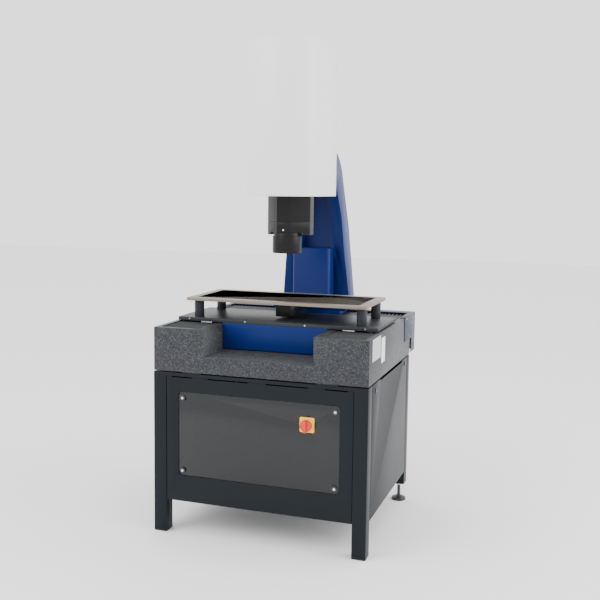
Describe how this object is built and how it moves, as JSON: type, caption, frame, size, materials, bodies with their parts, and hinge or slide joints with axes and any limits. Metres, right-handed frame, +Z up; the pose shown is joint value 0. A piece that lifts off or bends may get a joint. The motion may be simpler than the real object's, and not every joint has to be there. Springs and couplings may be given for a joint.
{
  "type": "coordinate measuring machine",
  "caption": "Free-standing optical coordinate measuring machine: granite bed on a steel stand, sliding glass stage, travelling column and a hooded head with a camera and lens.",
  "frame": {"origin": "on the floor, under the middle of the whole machine", "axes": "+Z up, +X to the right of someone who stands at the window side, +Y to the back of the machine"},
  "size_m": [0.737, 0.7376, 1.638],
  "materials": {
    "stand_paint": "fine textured powder coat, anthracite",
    "panel_paint": "fine textured powder coat, anthracite",
    "smoked_pane": "dark smoked acrylic, glossy",
    "black_plastic": "matte",
    "black_rubber": "matte",
    "foot_metal": "black painted dish with a steel stem",
    "zinc": "zinc plated",
    "rack_metal": "satin black",
    "switch_yellow": "satin",
    "switch_red": "satin",
    "granite": "honed dark granite",
    "guide_steel": "ground",
    "motor_black": "black anodised",
    "plate_black": "black anodised, satin",
    "machine_blue": "fine textured powder coat",
    "frame_metal": "brushed, taupe anodised",
    "stage_glass": "clear float glass",
    "bellows_fabric": "coated folding cloth",
    "housing_paint": "fine textured powder coat",
    "cover_white": "satin white",
    "carriage_metal": "milled",
    "head_black": "black anodised",
    "lens_glass": "coated optical glass"
  },
  "bodies": {
    "stand": {"stand_frame": "stand_paint", "front_foot_pads": "black_rubber", "levelling_feet": "foot_metal", "foot_lock_nuts": "zinc", "front_panel": "panel_paint", "window_pane": "smoked_pane", "window_screws": "black_plastic", "left_side_panel": "panel_paint", "right_side_panel": "panel_paint", "panel_locks": "black_plastic", "back_panel": "panel_paint", "floor_panel": "panel_paint", "rack_uprights": "rack_metal", "power_unit": "rack_metal", "controller_unit": "rack_metal", "computer_unit": "rack_metal", "main_switch_plate": "switch_yellow", "main_switch_body": "black_plastic", "bed_pads": "black_rubber", "granite_bed": "granite", "y_guide_rails": "guide_steel", "screw_supports": "motor_black", "y_motor": "motor_black", "x_guide_rails": "guide_steel", "x_motor": "motor_black", "rear_housing": "housing_paint", "left_stage_bellows": "bellows_fabric", "right_stage_bellows": "bellows_fabric", "left_column_bellows": "bellows_fabric", "right_column_bellows": "bellows_fabric"},
    "switch_knob": {"main_switch_knob": "switch_red"},
    "stage": {"stage_plate": "plate_black", "stage_carriage": "machine_blue", "glass_posts": "plate_black", "glass_frame": "frame_metal", "stage_glass": "stage_glass", "y_runner_blocks": "guide_steel", "y_ball_nut": "guide_steel"},
    "y_screw": {"y_ball_screw": "guide_steel"},
    "column": {"column": "machine_blue", "x_carriage": "machine_blue", "x_runner_blocks": "guide_steel", "x_ball_nut": "guide_steel", "head_back_plate": "carriage_metal", "head_cover": "cover_white", "z_guide_rails": "guide_steel", "z_screw_supports": "motor_black", "z_motor": "motor_black", "light_arm": "head_black", "arm_lens": "lens_glass"},
    "x_screw": {"x_ball_screw": "guide_steel"},
    "head": {"z_carriage": "carriage_metal", "z_runner_blocks": "guide_steel", "z_ball_nut": "guide_steel", "sensor_housing": "head_black", "lens_barrel": "head_black", "front_lens": "lens_glass"},
    "z_screw": {"z_ball_screw": "guide_steel"}
  },
  "joints": [
    {"name": "stage_slide", "type": "slide", "parent": "stand", "child": "stage", "axis": [0, 1, 0], "range_m": [-0.1, 0.1], "deforming": ["left_stage_bellows", "right_stage_bellows"]},
    {"name": "column_slide", "type": "slide", "parent": "stand", "child": "column", "axis": [1, 0, 0], "range_m": [-0.15, 0.15], "deforming": ["left_column_bellows", "right_column_bellows"]},
    {"name": "head_slide", "type": "slide", "parent": "column", "child": "head", "axis": [0, 0, 1], "range_m": [-0.13, 0.07]},
    {"name": "y_screw_turn", "type": "hinge", "parent": "stand", "child": "y_screw", "pos_m": [0.319, -0.14025, 0.6574], "axis": [0, 1, 0], "range_deg": [-3600.5, 3600.5]},
    {"name": "x_screw_turn", "type": "hinge", "parent": "stand", "child": "x_screw", "pos_m": [0, 0.21075, 0.627], "axis": [1, 0, 0], "range_deg": [-5400.5, 5400.5]},
    {"name": "z_screw_turn", "type": "hinge", "parent": "column", "child": "z_screw", "pos_m": [0, 0.07075, 1.3], "axis": [0, 0, 1], "range_deg": [-4680.5, 2520.5]},
    {"name": "switch_turn", "type": "hinge", "parent": "stand", "child": "switch_knob", "pos_m": [0.1695, -0.34025, 0.414], "axis": [0, -1, 0], "range_deg": [-90, 0]}
  ],
  "couplings": [
    {"joint": "y_screw_turn", "follows": "stage_slide", "rad_per_m": 628.32},
    {"joint": "x_screw_turn", "follows": "column_slide", "rad_per_m": 628.32},
    {"joint": "z_screw_turn", "follows": "head_slide", "rad_per_m": 628.32}
  ]
}
